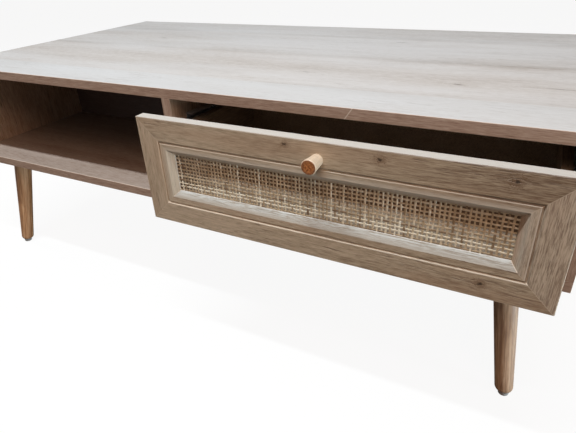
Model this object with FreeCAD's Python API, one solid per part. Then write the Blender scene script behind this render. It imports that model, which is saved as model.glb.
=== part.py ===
import FreeCAD, Part
import os

from FreeCAD import Placement, Rotation, Vector

# Low coffee table on four splayed legs. Each long side has one open bay and one drawer,
# and the rear side is the front side turned half round. Millimetres, +X along the length,
# -Y towards the front, +Z up, floor at zero.

# Table boards
table_length = 1140.0
table_depth = 600.0
board = 15.0
inner_height = 163.0
leg_height = 220.0
board_round = 0.8

# How far the front drawer stands open in the part as stored
front_drawer_open = 75.0

# Clearances
fit_gap = 0.1
run_gap = 0.3
overrun = 1.0
match_tolerance = 0.01

# Legs: places of the feet, how far each leg leans in along X and Y, and diameters
foot_end_inset = 40.0
foot_side_inset = 30.0
leg_lean = 35.0
leg_top_diameter = 36.0
leg_foot_diameter = 24.6
leg_foot_round = 8.0
leg_seat_gap = 0.5

# Leg plates, hanger bolts and foot glides
plate_side = 72.0
plate_thickness = 3.0
plate_corner = 8.0
plate_boss_diameter = 30.0
plate_screw_spread = 54.0
plate_screw_length = 13.0
hanger_bolt_diameter = 8.0
hanger_bolt_in_leg = 32.0
glide_diameter = 15.0
glide_height = 6.0
glide_round = 2.0
glide_pin_diameter = 3.0
glide_pin_length = 12.0

# Small screws share a head and a shank
screw_head = 6.5
screw_head_height = 1.2
screw_shank = 3.5
recess_length_share = 0.6
recess_width_share = 0.16
recess_depth_share = 0.6

# Long screws that hold the uprights from under the bottom board
base_screw_head = 9.0
base_screw_head_height = 3.5
base_screw_shank = 5.0
base_screw_length = 46.0
base_screw_inset = 120.0

# Wooden dowels between boards
dowel_diameter = 8.0
dowel_in_face = 10.0
dowel_in_edge = 20.0
dowel_inset = 45.0
back_dowel_share = 0.35

# Cam locks and their bolts, alike in the carcass and in the drawers
cam_diameter = 12.0
cam_depth = 11.0
cam_setback = 24.0
cam_bolt_diameter = 5.0
cam_bolt_in_face = 10.0
cam_near_inset = 100.0
cam_far_inset = 230.0

# Ball runners: channel on the carcass, rail on the drawer, cage of balls between
runner_space = 12.7
runner_setback = 34.0
runner_tail_gap = 4.0
runner_rise = 110.0
runner_steel = 1.2
channel_height = 45.0
channel_depth = 10.5
channel_lip = 1.5
rail_height = 30.0
rail_flange_start = 4.3
cage_length = 70.0
cage_steel = 0.8
cage_start = 3.0
cage_end = 9.2
balls_per_track = 8
runner_screw_shares = (0.15, 0.5, 0.85)
channel_screw_length = 10.0
rail_screw_length = 9.0

# Drawer front: a mitred frame around a cane panel
drawer_gap = 3.0
front_thickness = 16.0
face_flat = 31.0
groove_width = 4.0
groove_depth = 2.0
inner_step = 0.5
inner_flat = 8.0
bevel_width = 8.0
bevel_depth = 8.5
cane_setback = 10.0
rebate_width = 8.0
cane_thickness = 0.8
cane_gap = 0.3
cane_columns = 41
cane_rows = 5
cane_strand_share = 0.5
batten_depth = 4.5

# Knob
knob_diameter = 19.0
knob_base_diameter = 15.0
knob_length = 24.0
knob_round = 1.5
knob_drop = 22.0
knob_screw_grip = 12.0

# Drawer box
box_board = 12.0
box_lift = 15.0
box_height = 110.0
box_rear_gap = 14.5
box_panel = 3.0
box_panel_lift = 8.0
box_groove = 5.0
box_cam_rises = (28.0, 80.0)
box_screw_rises = (35.0, 75.0)
box_screw_length = 32.0

# Places worked out from the sizes above
half_length = table_length / 2
half_depth = table_depth / 2
half_board = board / 2
bay_floor = leg_height + board
under_top = bay_floor + inner_height
side_centre = half_length - half_board
bay_left = half_board
bay_right = half_length - board
bay_width = bay_right - bay_left
bay_middle = bay_left + bay_width / 2
front_face = -half_depth
front_back = front_face + front_thickness
front_left = bay_left + drawer_gap
front_bottom = bay_floor + drawer_gap
front_width = bay_width - 2 * drawer_gap
front_height = inner_height - 2 * drawer_gap
member_width = face_flat + groove_width + inner_flat + bevel_width
box_bottom = bay_floor + box_lift
box_top = box_bottom + box_height
box_rear = -half_board - box_rear_gap
box_left = bay_left + runner_space
box_right = bay_right - runner_space
box_panel_bottom = box_bottom + box_panel_lift
box_panel_top = box_panel_bottom + box_panel
runner_front = front_face + runner_setback
runner_length = box_rear - runner_tail_gap - runner_front
runner_centre = bay_floor + runner_rise
half_turn = 180
quarter_turn = 90
along_x = Vector(1, 0, 0)
along_y = Vector(0, 1, 0)
along_z = Vector(0, 0, 1)
centre = Vector(0, 0, 0)


def block(x0, x1, y0, y1, z0, z1):
    """Square block between two corners."""
    return Part.makeBox(x1 - x0, y1 - y0, z1 - z0, Vector(x0, y0, z0))


def carcass_board(x0, x1, y0, y1, z0, z1):
    """Board with all its edges slightly rounded."""
    plain = block(x0, x1, y0, y1, z0, z1)
    return plain.makeFillet(board_round, plain.Edges)


def rod(diameter, start, along):
    """Round bar from start, as long as the vector along."""
    return Part.makeCylinder(diameter / 2, along.Length, start, along)


def placed(shape, at, along):
    """Copy of a fastener drawn up the Z axis, stood at a point and turned to a direction."""
    turned = shape.copy()
    turned.Placement = Placement(at, Rotation(along_z, along))
    return turned


def cut_from(shape, tools):
    """The one solid left when the tools are cut from a shape."""
    return shape.cut(tools).Solids[0]


def prism_along_y(points, y0, length):
    """Solid with an outline given as X and Z, run along Y."""
    corners = [Vector(x, y0, z) for x, z in points]
    corners.append(corners[0])
    return Part.Face(Part.makePolygon(corners)).extrude(along_y * length)


# Fasteners, each drawn with its axis up Z and the face that it seats on at zero


def cross_recess(head, depth):
    """Cross-shaped cutter for a driver, from zero upwards."""
    reach = head * recess_length_share / 2
    wing = head * recess_width_share / 2
    long_bar = block(-reach, reach, -wing, wing, -overrun, depth)
    cross_bar = block(-wing, wing, -reach, reach, -overrun, depth)
    return long_bar.fuse(cross_bar)


def screw(head, head_height, shank, length):
    """Screw with a flat round head below zero and its shank above."""
    head_disc = rod(head, along_z * -head_height, along_z * head_height)
    body = head_disc.fuse(rod(shank, centre, along_z * length))
    recess = cross_recess(head, head_height * recess_depth_share)
    recess.translate(along_z * -head_height)
    return cut_from(body, recess)


def small_screw(length):
    return screw(screw_head, screw_head_height, screw_shank, length)


def small_screw_room(length, head_depth):
    """Hole for a small screw, with room for a head sunk to a depth below zero."""
    shank_reach = along_z * (head_depth + length + fit_gap)
    shank = rod(screw_shank + 2 * fit_gap, along_z * -head_depth, shank_reach)
    if head_depth == 0:
        return shank
    head_reach = along_z * (head_depth + overrun)
    return shank.fuse(rod(screw_head + 2 * fit_gap, -head_reach, head_reach))


def cam_lock(bolt_rise):
    """Round cam whose axis is up Z, bored from its -X rim to its middle for the bolt."""
    disc = rod(cam_diameter, centre, along_z * cam_depth)
    bore_reach = cam_diameter / 2 + overrun
    bore_start = Vector(-bore_reach, 0, bolt_rise)
    bore = rod(cam_bolt_diameter + 2 * fit_gap, bore_start, along_x * (bore_reach + fit_gap))
    return cut_from(disc, [bore, cross_recess(cam_diameter, screw_head_height)])


# Carcass


def upright_dowel_spots():
    """X and Y of the dowels in the ends of the uprights and in the two back panels."""
    reach = half_depth - dowel_inset
    spots = [(x, y) for x in (-side_centre, 0.0, side_centre) for y in (-reach, reach)]
    offset = bay_width * back_dowel_share
    for middle in (-bay_middle, bay_middle):
        spots += [(middle - offset, 0.0), (middle + offset, 0.0)]
    return spots


def base_screw_spots():
    """X and Y of the long screws through the bottom board."""
    reach = half_depth - base_screw_inset
    spots = [(x, y) for x in (-side_centre, 0.0, side_centre) for y in (-reach, reach)]
    return spots + [(-bay_middle, 0.0), (bay_middle, 0.0)]


def carcass_cam_spots():
    """X and Y of each cam bolt and the X direction that its cam faces, always into a drawer opening."""
    spots = []
    for inset in (cam_near_inset, cam_far_inset):
        y = half_depth - inset
        spots += [(side_centre, -y, -1), (0.0, -y, 1), (-side_centre, y, 1), (0.0, y, -1)]
    return spots


def dowel_rods(slack):
    """Dowels at the top and bottom of the uprights, or their holes when slack is given."""
    length = along_z * (dowel_in_face + dowel_in_edge + 2 * slack)
    starts = (bay_floor - dowel_in_face - slack, under_top - dowel_in_edge - slack)
    return [
        rod(dowel_diameter + 2 * slack, Vector(x, y, start), length)
        for x, y in upright_dowel_spots()
        for start in starts
    ]


def base_screws():
    seat = leg_height + base_screw_head_height
    one = screw(base_screw_head, base_screw_head_height, base_screw_shank, base_screw_length)
    return [placed(one, Vector(x, y, seat), along_z) for x, y in base_screw_spots()]


def base_screw_holes():
    seat = leg_height + base_screw_head_height
    shank_reach = along_z * (base_screw_length + fit_gap)
    head_reach = along_z * (base_screw_head_height + overrun)
    holes = []
    for x, y in base_screw_spots():
        holes.append(rod(base_screw_shank + 2 * fit_gap, Vector(x, y, seat), shank_reach))
        holes.append(rod(base_screw_head + 2 * fit_gap, Vector(x, y, leg_height - overrun), head_reach))
    return holes


def carcass_cam_bolts(slack):
    """Bolts that hang from the top board into the uprights, or their holes."""
    length = along_z * (cam_setback + cam_bolt_in_face + slack)
    start = under_top - cam_setback
    return [
        rod(cam_bolt_diameter + 2 * slack, Vector(x, y, start), length)
        for x, y, facing in carcass_cam_spots()
    ]


def carcass_cam_locks():
    cams = []
    for x, y, facing in carcass_cam_spots():
        turned = cam_lock(half_board)
        turned.rotate(centre, along_z, half_turn)
        turned.rotate(centre, along_y, -quarter_turn * facing)
        if facing < 0:
            turned.rotate(centre, along_x, half_turn)
        turned.translate(Vector(x + facing * half_board, y, under_top - cam_setback))
        cams.append(turned)
    return cams


def carcass_cam_pockets():
    pockets = []
    for x, y, facing in carcass_cam_spots():
        start = Vector(x + facing * (half_board + overrun), y, under_top - cam_setback)
        reach = cam_depth + overrun + fit_gap
        pockets.append(rod(cam_diameter + 2 * fit_gap, start, along_x * (-facing * reach)))
    return pockets


def upright(x_centre, bores):
    plain = carcass_board(
        x_centre - half_board, x_centre + half_board, -half_depth, half_depth, bay_floor, under_top
    )
    return cut_from(plain, bores)


def back_panel(x_middle, bores):
    """Board at half depth that closes the back of a bay and of the drawer opening behind it."""
    half_width = bay_width / 2
    plain = carcass_board(
        x_middle - half_width, x_middle + half_width, -half_board, half_board, bay_floor, under_top
    )
    return cut_from(plain, bores)


def flat_board(z0, bores):
    """Top or bottom board, full length and depth."""
    plain = carcass_board(-half_length, half_length, -half_depth, half_depth, z0, z0 + board)
    return cut_from(plain, bores)


# Legs


leg_corners = {
    "front_left": (-1, -1),
    "front_right": (1, -1),
    "rear_left": (-1, 1),
    "rear_right": (1, 1),
}


class LegLine:
    """Slanted middle line of one leg, from its foot on the floor to the bottom board."""

    def __init__(self, side_x, side_y):
        foot_x = half_length - foot_end_inset
        foot_y = half_depth - foot_side_inset
        self.foot = Vector(side_x * foot_x, side_y * foot_y, 0)
        self.top = Vector(side_x * (foot_x - leg_lean), side_y * (foot_y - leg_lean), leg_height)
        self.axis = self.top - self.foot
        self.up = self.axis * (1 / self.axis.Length)
        self.cosine = self.up.z
        self.sine = (1 - self.cosine ** 2) ** 0.5
        rim_rise = leg_top_diameter / 2 * self.sine
        self.seat_height = leg_height - plate_thickness - rim_rise - leg_seat_gap
        self.seat = self.at_height(self.seat_height)

    def at_height(self, z):
        return self.foot + self.axis * (z / leg_height)

    def radius_at(self, z):
        share_up = z / self.seat_height
        return (leg_foot_diameter + (leg_top_diameter - leg_foot_diameter) * share_up) / 2


def hanger_bolt(line, slack):
    """Threaded rod from the leg into its plate, or its hole."""
    radius = hanger_bolt_diameter / 2
    room = leg_height - line.seat_height - radius * line.sine - leg_seat_gap
    start = line.seat - line.up * (hanger_bolt_in_leg + slack)
    length = hanger_bolt_in_leg + room / line.cosine + 2 * slack
    return rod(hanger_bolt_diameter + 2 * slack, start, line.up * length)


def glide(line, slack):
    """Foot glide with its pin, or the pin's hole when slack is given."""
    under_leg = line.at_height(glide_height)
    pin = rod(glide_pin_diameter + 2 * slack, under_leg, along_z * (glide_pin_length + slack))
    if slack:
        return pin
    disc = rod(glide_diameter, under_leg - along_z * glide_height, along_z * glide_height)
    rims = [edge for edge in disc.Edges if edge.CenterOfMass.z < match_tolerance and edge.Closed]
    return disc.makeFillet(glide_round, rims).fuse(pin).Solids[0]


def leg(line):
    start_height = -leg_foot_diameter
    start = line.at_height(start_height)
    length = (line.seat - start).Length
    cone = Part.makeCone(
        line.radius_at(start_height), line.radius_at(line.seat_height), length, start, line.up
    )
    reach = leg_top_diameter + leg_foot_diameter
    under = block(
        line.foot.x - reach,
        line.foot.x + reach,
        line.foot.y - reach,
        line.foot.y + reach,
        -reach,
        glide_height,
    )
    stood = cut_from(cone, under)
    rims = [edge for edge in stood.Edges if abs(edge.CenterOfMass.z - glide_height) < match_tolerance]
    rounded = stood.makeFillet(leg_foot_round, rims)
    return cut_from(rounded, [hanger_bolt(line, fit_gap), glide(line, fit_gap)])


def plate_screw_spots(line):
    reach = plate_screw_spread / 2
    return [Vector(line.top.x + i * reach, line.top.y + j * reach, 0) for i in (-1, 1) for j in (-1, 1)]


def leg_plate(line):
    """Steel plate under the bottom board, with a slanted boss that the leg seats on."""
    half_side = plate_side / 2
    flat = block(
        line.top.x - half_side,
        line.top.x + half_side,
        line.top.y - half_side,
        line.top.y + half_side,
        leg_height - plate_thickness,
        leg_height,
    )
    corners = [edge for edge in flat.Edges if edge.BoundBox.ZLength > plate_thickness - match_tolerance]
    flat = flat.makeFillet(plate_corner, corners)
    boss = rod(plate_boss_diameter, line.seat, line.up * leg_top_diameter)
    above = block(
        line.top.x - plate_side,
        line.top.x + plate_side,
        line.top.y - plate_side,
        line.top.y + plate_side,
        leg_height,
        leg_height + plate_side,
    )
    holes = [hanger_bolt(line, fit_gap)]
    hole_start = along_z * (leg_height - plate_thickness - overrun)
    hole_reach = along_z * (plate_thickness + 2 * overrun)
    for spot in plate_screw_spots(line):
        holes.append(rod(screw_shank + 2 * fit_gap, spot + hole_start, hole_reach))
    return cut_from(flat.fuse(boss.cut(above)), holes)


def plate_screws(line):
    seat = along_z * (leg_height - plate_thickness)
    one = small_screw(plate_screw_length)
    return [placed(one, spot + seat, along_z) for spot in plate_screw_spots(line)]


def plate_screw_holes(line):
    """Pilot holes in the bottom board."""
    start = along_z * (leg_height - overrun)
    reach = along_z * (plate_screw_length - plate_thickness + overrun + fit_gap)
    return [rod(screw_shank + 2 * fit_gap, spot + start, reach) for spot in plate_screw_spots(line)]


# Ball runners, drawn for the front drawer closed; side is 1 on the divider and -1 on the side panel


def on_runner_side(shape, side):
    """Set a runner piece, drawn with its mounting face at X zero, against one wall of the opening."""
    if side > 0:
        moved = shape.copy()
        moved.translate(along_x * bay_left)
    else:
        moved = shape.mirror(centre, along_x)
        moved.translate(along_x * bay_right)
    moved.translate(along_z * runner_centre)
    return moved


def runner_screw_places():
    return [runner_front + runner_length * share for share in runner_screw_shares]


def channel(side):
    half = channel_height / 2
    inner = half - runner_steel
    lip = inner - channel_lip
    mouth = channel_depth - runner_steel
    upper = [
        (runner_steel, inner),
        (mouth, inner),
        (mouth, lip),
        (channel_depth, lip),
        (channel_depth, half),
        (0, half),
    ]
    lower = [(x, -z) for x, z in reversed(upper)]
    solid = prism_along_y(lower + upper, runner_front, runner_length)
    holes = [
        rod(screw_shank + 2 * fit_gap, Vector(-overrun, y, 0), along_x * (runner_steel + 2 * overrun))
        for y in runner_screw_places()
    ]
    return on_runner_side(cut_from(solid, holes), side)


def channel_screws(side):
    one = small_screw(channel_screw_length)
    return [
        on_runner_side(placed(one, Vector(runner_steel, y, 0), -along_x), side)
        for y in runner_screw_places()
    ]


def channel_screw_holes(side):
    """Pilot holes in the wall behind a channel."""
    depth = channel_screw_length - runner_steel + overrun + fit_gap
    return [
        on_runner_side(rod(screw_shank + 2 * fit_gap, Vector(overrun, y, 0), along_x * -depth), side)
        for y in runner_screw_places()
    ]


def rail(side):
    half = rail_height / 2
    inner = half - runner_steel
    web = runner_space - runner_steel
    upper = [(web, inner), (rail_flange_start, inner), (rail_flange_start, half), (runner_space, half)]
    lower = [(x, -z) for x, z in reversed(upper)]
    solid = prism_along_y(lower + upper, runner_front, runner_length)
    holes = [
        rod(screw_shank + 2 * fit_gap, Vector(web - overrun, y, 0), along_x * (runner_steel + 2 * overrun))
        for y in runner_screw_places()
    ]
    return on_runner_side(cut_from(solid, holes), side)


def rail_screws(side):
    one = small_screw(rail_screw_length)
    web = runner_space - runner_steel
    return [on_runner_side(placed(one, Vector(web, y, 0), along_x), side) for y in runner_screw_places()]


def rail_screw_holes(side):
    """Pilot holes in the drawer side behind a rail."""
    start = runner_space - overrun
    depth = rail_screw_length - runner_steel + overrun + fit_gap
    return [
        on_runner_side(rod(screw_shank + 2 * fit_gap, Vector(start, y, 0), along_x * depth), side)
        for y in runner_screw_places()
    ]


def ball_cage(side):
    """Bent steel cage with balls in its windows, at the middle of the closed runner."""
    track_bottom = rail_height / 2
    track_top = channel_height / 2 - runner_steel
    ball_height = (track_bottom + track_top) / 2
    ball_radius = (track_top - track_bottom) / 2 - run_gap
    ball_x = (rail_flange_start + channel_depth - runner_steel) / 2
    cage_front = runner_front + (runner_length - cage_length) / 2
    outer = ball_height + cage_steel / 2
    inner = ball_height - cage_steel / 2
    web = cage_start + cage_steel
    upper = [(web, inner), (cage_end, inner), (cage_end, outer), (cage_start, outer)]
    lower = [(x, -z) for x, z in reversed(upper)]
    strip = prism_along_y(lower + upper, cage_front, cage_length)
    pitch = cage_length / balls_per_track
    windows = []
    balls = []
    for step in range(balls_per_track):
        y = cage_front + pitch * step + pitch / 2
        for level in (-ball_height, ball_height):
            middle = Vector(ball_x, y, level)
            windows.append(Part.makeSphere(ball_radius + fit_gap, middle))
            balls.append(Part.makeSphere(ball_radius, middle))
    return [on_runner_side(piece, side) for piece in [cut_from(strip, windows)] + balls]


# Drawer front, drawn for the front drawer closed


def frame_member(length):
    """Mitred bar of the drawer front along X, with its outer edge on Z zero and its face on Y zero."""
    groove_end = face_flat + groove_width
    bevel_start = groove_end + inner_flat
    outline = [
        (0, board_round),
        (board_round, 0),
        (face_flat, 0),
        (face_flat + groove_width / 2, groove_depth),
        (groove_end, inner_step),
        (bevel_start, inner_step),
        (member_width, bevel_depth),
        (member_width, cane_setback),
        (member_width - rebate_width, cane_setback),
        (member_width - rebate_width, front_thickness),
        (0, front_thickness),
    ]
    corners = [Vector(0, depth, rise) for rise, depth in outline]
    corners.append(corners[0])
    bar = Part.Face(Part.makePolygon(corners)).extrude(along_x * length)
    mitre = prism_along_y(
        [(0, 0), (length, 0), (length - member_width, member_width), (member_width, member_width)],
        0,
        front_thickness,
    )
    return bar.common(mitre).Solids[0]


def frame_piece(length, angle, corner_x, corner_z):
    """Frame member turned about Y and set with its starting corner on the drawer front."""
    piece = frame_member(length)
    piece.rotate(centre, along_y, angle)
    piece.translate(Vector(front_left + corner_x, front_face, front_bottom + corner_z))
    return piece


def cane_opening(margin):
    """X and Z limits of the opening in the frame, widened by a margin."""
    inset = member_width - margin
    return (
        front_left + inset,
        front_left + front_width - inset,
        front_bottom + inset,
        front_bottom + front_height - inset,
    )


def rectangle(x0, x1, z0, z1, y):
    return Part.makePolygon(
        [Vector(x0, y, z0), Vector(x1, y, z0), Vector(x1, y, z1), Vector(x0, y, z1), Vector(x0, y, z0)]
    )


def cane_panel():
    """Woven cane as a flat net with square gaps, held in the rebate of the frame."""
    face_y = front_face + cane_setback
    x0, x1, z0, z1 = cane_opening(0)
    pitch_x = (x1 - x0) / cane_columns
    pitch_z = (z1 - z0) / cane_rows
    half_x = pitch_x * (1 - cane_strand_share) / 2
    half_z = pitch_z * (1 - cane_strand_share) / 2
    wires = [rectangle(*cane_opening(rebate_width - cane_gap), face_y)]
    for column in range(cane_columns):
        x = x0 + pitch_x * column + pitch_x / 2
        for row in range(cane_rows):
            z = z0 + pitch_z * row + pitch_z / 2
            wires.append(rectangle(x - half_x, x + half_x, z - half_z, z + half_z, face_y))
    return Part.makeFace(wires, "Part::FaceMakerBullseye").extrude(along_y * cane_thickness).Solids[0]


def cane_battens():
    """Four strips that press the cane into the rebate."""
    x0, x1, z0, z1 = cane_opening(rebate_width - cane_gap)
    width = rebate_width - 2 * cane_gap
    y0 = front_face + cane_setback + cane_thickness
    y1 = y0 + batten_depth
    return [
        block(x0, x1, y0, y1, z0, z0 + width),
        block(x0, x1, y0, y1, z1 - width, z1),
        block(x0, x0 + width, y0, y1, z0 + width, z1 - width),
        block(x1 - width, x1, y0, y1, z0 + width, z1 - width),
    ]


def knob_middle(y):
    return Vector(front_left + front_width / 2, y, front_bottom + front_height - knob_drop)


def knob_screw_room():
    """Hole through the top rail into the knob."""
    return placed(small_screw_room(front_thickness + knob_screw_grip, 0), knob_middle(front_back), -along_y)


def knob():
    """Turned knob that widens towards its softly rounded end."""
    outer_end = front_face - knob_length
    cone = Part.makeCone(
        knob_diameter / 2, knob_base_diameter / 2, knob_length, knob_middle(outer_end), along_y
    )
    rims = [edge for edge in cone.Edges if edge.Closed and edge.CenterOfMass.y < outer_end + match_tolerance]
    return cut_from(cone.makeFillet(knob_round, rims), knob_screw_room())


def knob_screw():
    return placed(small_screw(front_thickness + knob_screw_grip), knob_middle(front_back), -along_y)


# Drawer box, drawn for the front drawer closed; side is 1 at the divider and -1 at the side panel


def box_side_outer(side):
    return box_left if side > 0 else box_right


def panel_slot():
    """Space that the bottom panel takes in the sides and in the drawer front."""
    inset = box_board - box_groove
    return block(
        box_left + inset,
        box_right - inset,
        front_back - box_groove,
        box_rear + overrun,
        box_panel_bottom - fit_gap,
        box_panel_top + fit_gap,
    )


def box_cam_spots(side):
    """Points where the cam bolts cross from the drawer front into a side."""
    x = box_side_outer(side) + side * box_board / 2
    return [Vector(x, front_back, box_bottom + rise) for rise in box_cam_rises]


def box_cam_bolts(side, slack):
    """Bolts from the stile into the drawer side, or their holes."""
    length = along_y * (cam_bolt_in_face + cam_setback + slack)
    offset = along_y * (cam_bolt_in_face + slack)
    return [rod(cam_bolt_diameter + 2 * slack, spot - offset, length) for spot in box_cam_spots(side)]


def box_cam_locks(side):
    cams = []
    for spot in box_cam_spots(side):
        turned = cam_lock(box_board / 2)
        turned.rotate(centre, along_z, quarter_turn)
        turned.rotate(centre, along_y, -quarter_turn * side)
        turned.translate(spot + Vector(side * box_board / 2, cam_setback, 0))
        cams.append(turned)
    return cams


def box_cam_pockets(side):
    reach = cam_depth + overrun + fit_gap
    pockets = []
    for spot in box_cam_spots(side):
        start = spot + Vector(side * (box_board / 2 + overrun), cam_setback, 0)
        pockets.append(rod(cam_diameter + 2 * fit_gap, start, along_x * (-side * reach)))
    return pockets


def box_screw_seats(side):
    """Points under the heads of the screws that hold the back of the box."""
    x = box_side_outer(side) + side * screw_head_height
    y = box_rear - box_board / 2
    return [Vector(x, y, box_bottom + rise) for rise in box_screw_rises]


def box_screws(side):
    one = small_screw(box_screw_length)
    return [placed(one, seat, along_x * side) for seat in box_screw_seats(side)]


def box_screw_holes(side):
    room = small_screw_room(box_screw_length, screw_head_height)
    return [placed(room, seat, along_x * side) for seat in box_screw_seats(side)]


def box_side(side):
    outer = box_side_outer(side)
    inner = outer + side * box_board
    plain = block(min(outer, inner), max(outer, inner), front_back, box_rear, box_bottom, box_top)
    bores = box_cam_bolts(side, fit_gap) + box_cam_pockets(side)
    bores += box_screw_holes(side) + rail_screw_holes(side)
    return cut_from(plain, bores + [panel_slot()])


def box_back():
    plain = block(
        box_left + box_board,
        box_right - box_board,
        box_rear - box_board,
        box_rear,
        box_panel_top,
        box_top,
    )
    return cut_from(plain, box_screw_holes(1) + box_screw_holes(-1))


def box_bottom_panel():
    inset = box_board - box_groove + fit_gap
    return block(
        box_left + inset,
        box_right - inset,
        front_back - box_groove + fit_gap,
        box_rear,
        box_panel_bottom,
        box_panel_top,
    )


def drawer_pieces():
    """Every piece that moves with the front drawer, closed."""
    slot = panel_slot()
    top_rail = frame_piece(front_width, half_turn, front_width, front_height)
    left_bores = box_cam_bolts(1, fit_gap) + [slot]
    right_bores = box_cam_bolts(-1, fit_gap) + [slot]
    return {
        "top_rail": cut_from(top_rail, knob_screw_room()),
        "bottom_rail": cut_from(frame_piece(front_width, 0, 0, 0), slot),
        "left_stile": cut_from(frame_piece(front_height, quarter_turn, 0, front_height), left_bores),
        "right_stile": cut_from(frame_piece(front_height, -quarter_turn, front_width, 0), right_bores),
        "cane_panel": cane_panel(),
        "cane_battens": Part.makeCompound(cane_battens()),
        "knob": knob(),
        "knob_screw": knob_screw(),
        "box_left_side": box_side(1),
        "box_right_side": box_side(-1),
        "box_back": box_back(),
        "box_bottom": box_bottom_panel(),
        "box_cam_bolts": Part.makeCompound(box_cam_bolts(1, 0) + box_cam_bolts(-1, 0)),
        "box_cam_locks": Part.makeCompound(box_cam_locks(1) + box_cam_locks(-1)),
        "box_screws": Part.makeCompound(box_screws(1) + box_screws(-1)),
        "runner_rails": Part.makeCompound([rail(1), rail(-1)]),
        "runner_rail_screws": Part.makeCompound(rail_screws(1) + rail_screws(-1)),
    }


def turned_to_rear(shape):
    """Copy of a piece of the front half, turned half round to the rear."""
    copy = shape.copy()
    copy.rotate(centre, along_z, half_turn)
    return copy


def moved_out(shape, distance):
    """Copy of a piece of the front half, pulled towards the front."""
    copy = shape.copy()
    copy.translate(along_y * -distance)
    return copy


def carcass_pieces():
    """Every piece that stands still."""
    lines = {name: LegLine(*sides) for name, sides in leg_corners.items()}
    dowel_holes = dowel_rods(fit_gap)
    cam_bolt_holes = carcass_cam_bolts(fit_gap)
    runner_holes = channel_screw_holes(1) + channel_screw_holes(-1)
    runner_holes += [turned_to_rear(hole) for hole in runner_holes]
    plate_holes = [hole for line in lines.values() for hole in plate_screw_holes(line)]
    joint_bores = dowel_holes + base_screw_holes()
    upright_bores = joint_bores + cam_bolt_holes + carcass_cam_pockets() + runner_holes
    front_channels = [channel(1), channel(-1)]
    front_screws = channel_screws(1) + channel_screws(-1)
    leg_screws = [one for line in lines.values() for one in plate_screws(line)]
    pieces = {
        "top_panel": flat_board(under_top, dowel_holes + cam_bolt_holes),
        "bottom_panel": flat_board(leg_height, joint_bores + plate_holes),
        "left_side_panel": upright(-side_centre, upright_bores),
        "right_side_panel": upright(side_centre, upright_bores),
        "centre_divider": upright(0.0, upright_bores),
        "left_back_panel": back_panel(-bay_middle, joint_bores),
        "right_back_panel": back_panel(bay_middle, joint_bores),
        "carcass_dowels": Part.makeCompound(dowel_rods(0)),
        "carcass_base_screws": Part.makeCompound(base_screws()),
        "carcass_cam_bolts": Part.makeCompound(carcass_cam_bolts(0)),
        "carcass_cam_locks": Part.makeCompound(carcass_cam_locks()),
        "front_runner_channels": Part.makeCompound(front_channels),
        "rear_runner_channels": Part.makeCompound([turned_to_rear(piece) for piece in front_channels]),
        "runner_channel_screws": Part.makeCompound(
            front_screws + [turned_to_rear(piece) for piece in front_screws]
        ),
        "leg_plates": Part.makeCompound([leg_plate(line) for line in lines.values()]),
        "leg_plate_screws": Part.makeCompound(leg_screws),
        "leg_hanger_bolts": Part.makeCompound([hanger_bolt(line, 0) for line in lines.values()]),
        "foot_glides": Part.makeCompound([glide(line, 0) for line in lines.values()]),
    }
    for name, line in lines.items():
        pieces[name + "_leg"] = leg(line)
    return pieces


def table_pieces():
    pieces = carcass_pieces()
    for name, shape in drawer_pieces().items():
        pieces["front_drawer_" + name] = moved_out(shape, front_drawer_open)
        pieces["rear_drawer_" + name] = turned_to_rear(shape)
    cages = Part.makeCompound(ball_cage(1) + ball_cage(-1))
    pieces["front_ball_cages"] = moved_out(cages, front_drawer_open / 2)
    pieces["rear_ball_cages"] = turned_to_rear(cages)
    return pieces


os.makedirs("parts", exist_ok=True)
# The origin is at the middle of the part as stored, whose front drawer stands open
origin_shift = along_y * (front_drawer_open / 2)
for node, piece in table_pieces().items():
    piece.translate(origin_shift)
    piece.exportStep("parts/" + node + ".step")
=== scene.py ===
import math
import random
from collections import namedtuple

import bpy
from mathutils import Matrix, Vector


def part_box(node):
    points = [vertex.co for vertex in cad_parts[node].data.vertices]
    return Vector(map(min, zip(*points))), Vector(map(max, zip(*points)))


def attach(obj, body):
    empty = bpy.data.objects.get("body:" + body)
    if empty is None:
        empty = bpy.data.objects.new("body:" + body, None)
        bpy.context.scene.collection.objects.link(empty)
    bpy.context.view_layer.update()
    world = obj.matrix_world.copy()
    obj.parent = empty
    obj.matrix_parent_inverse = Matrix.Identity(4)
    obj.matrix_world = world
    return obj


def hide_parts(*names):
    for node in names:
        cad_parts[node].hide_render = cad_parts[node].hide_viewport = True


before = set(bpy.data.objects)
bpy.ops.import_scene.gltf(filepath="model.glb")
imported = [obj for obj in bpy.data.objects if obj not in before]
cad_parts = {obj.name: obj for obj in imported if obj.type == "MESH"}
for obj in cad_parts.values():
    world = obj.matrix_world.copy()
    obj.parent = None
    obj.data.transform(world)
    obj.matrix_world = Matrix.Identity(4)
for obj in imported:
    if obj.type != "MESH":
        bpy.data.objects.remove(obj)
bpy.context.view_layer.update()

# Looks of a washed oak coffee table with cane drawer fronts. Metres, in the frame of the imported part:
# +X along the table, -Y towards the front, +Z up, floor at zero.

# Camera at the photographed view; the focal length is in pixels of an image this wide
image_width = 576
focal_pixels = 482.4
sensor_width = 36.0
nearest_shown = 0.01
camera_place = Vector((0.496, -0.8046, 0.5888))
camera_yaw = math.radians(28.74)
camera_pitch = math.radians(29.33)
camera_roll = math.radians(-2.77)

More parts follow.
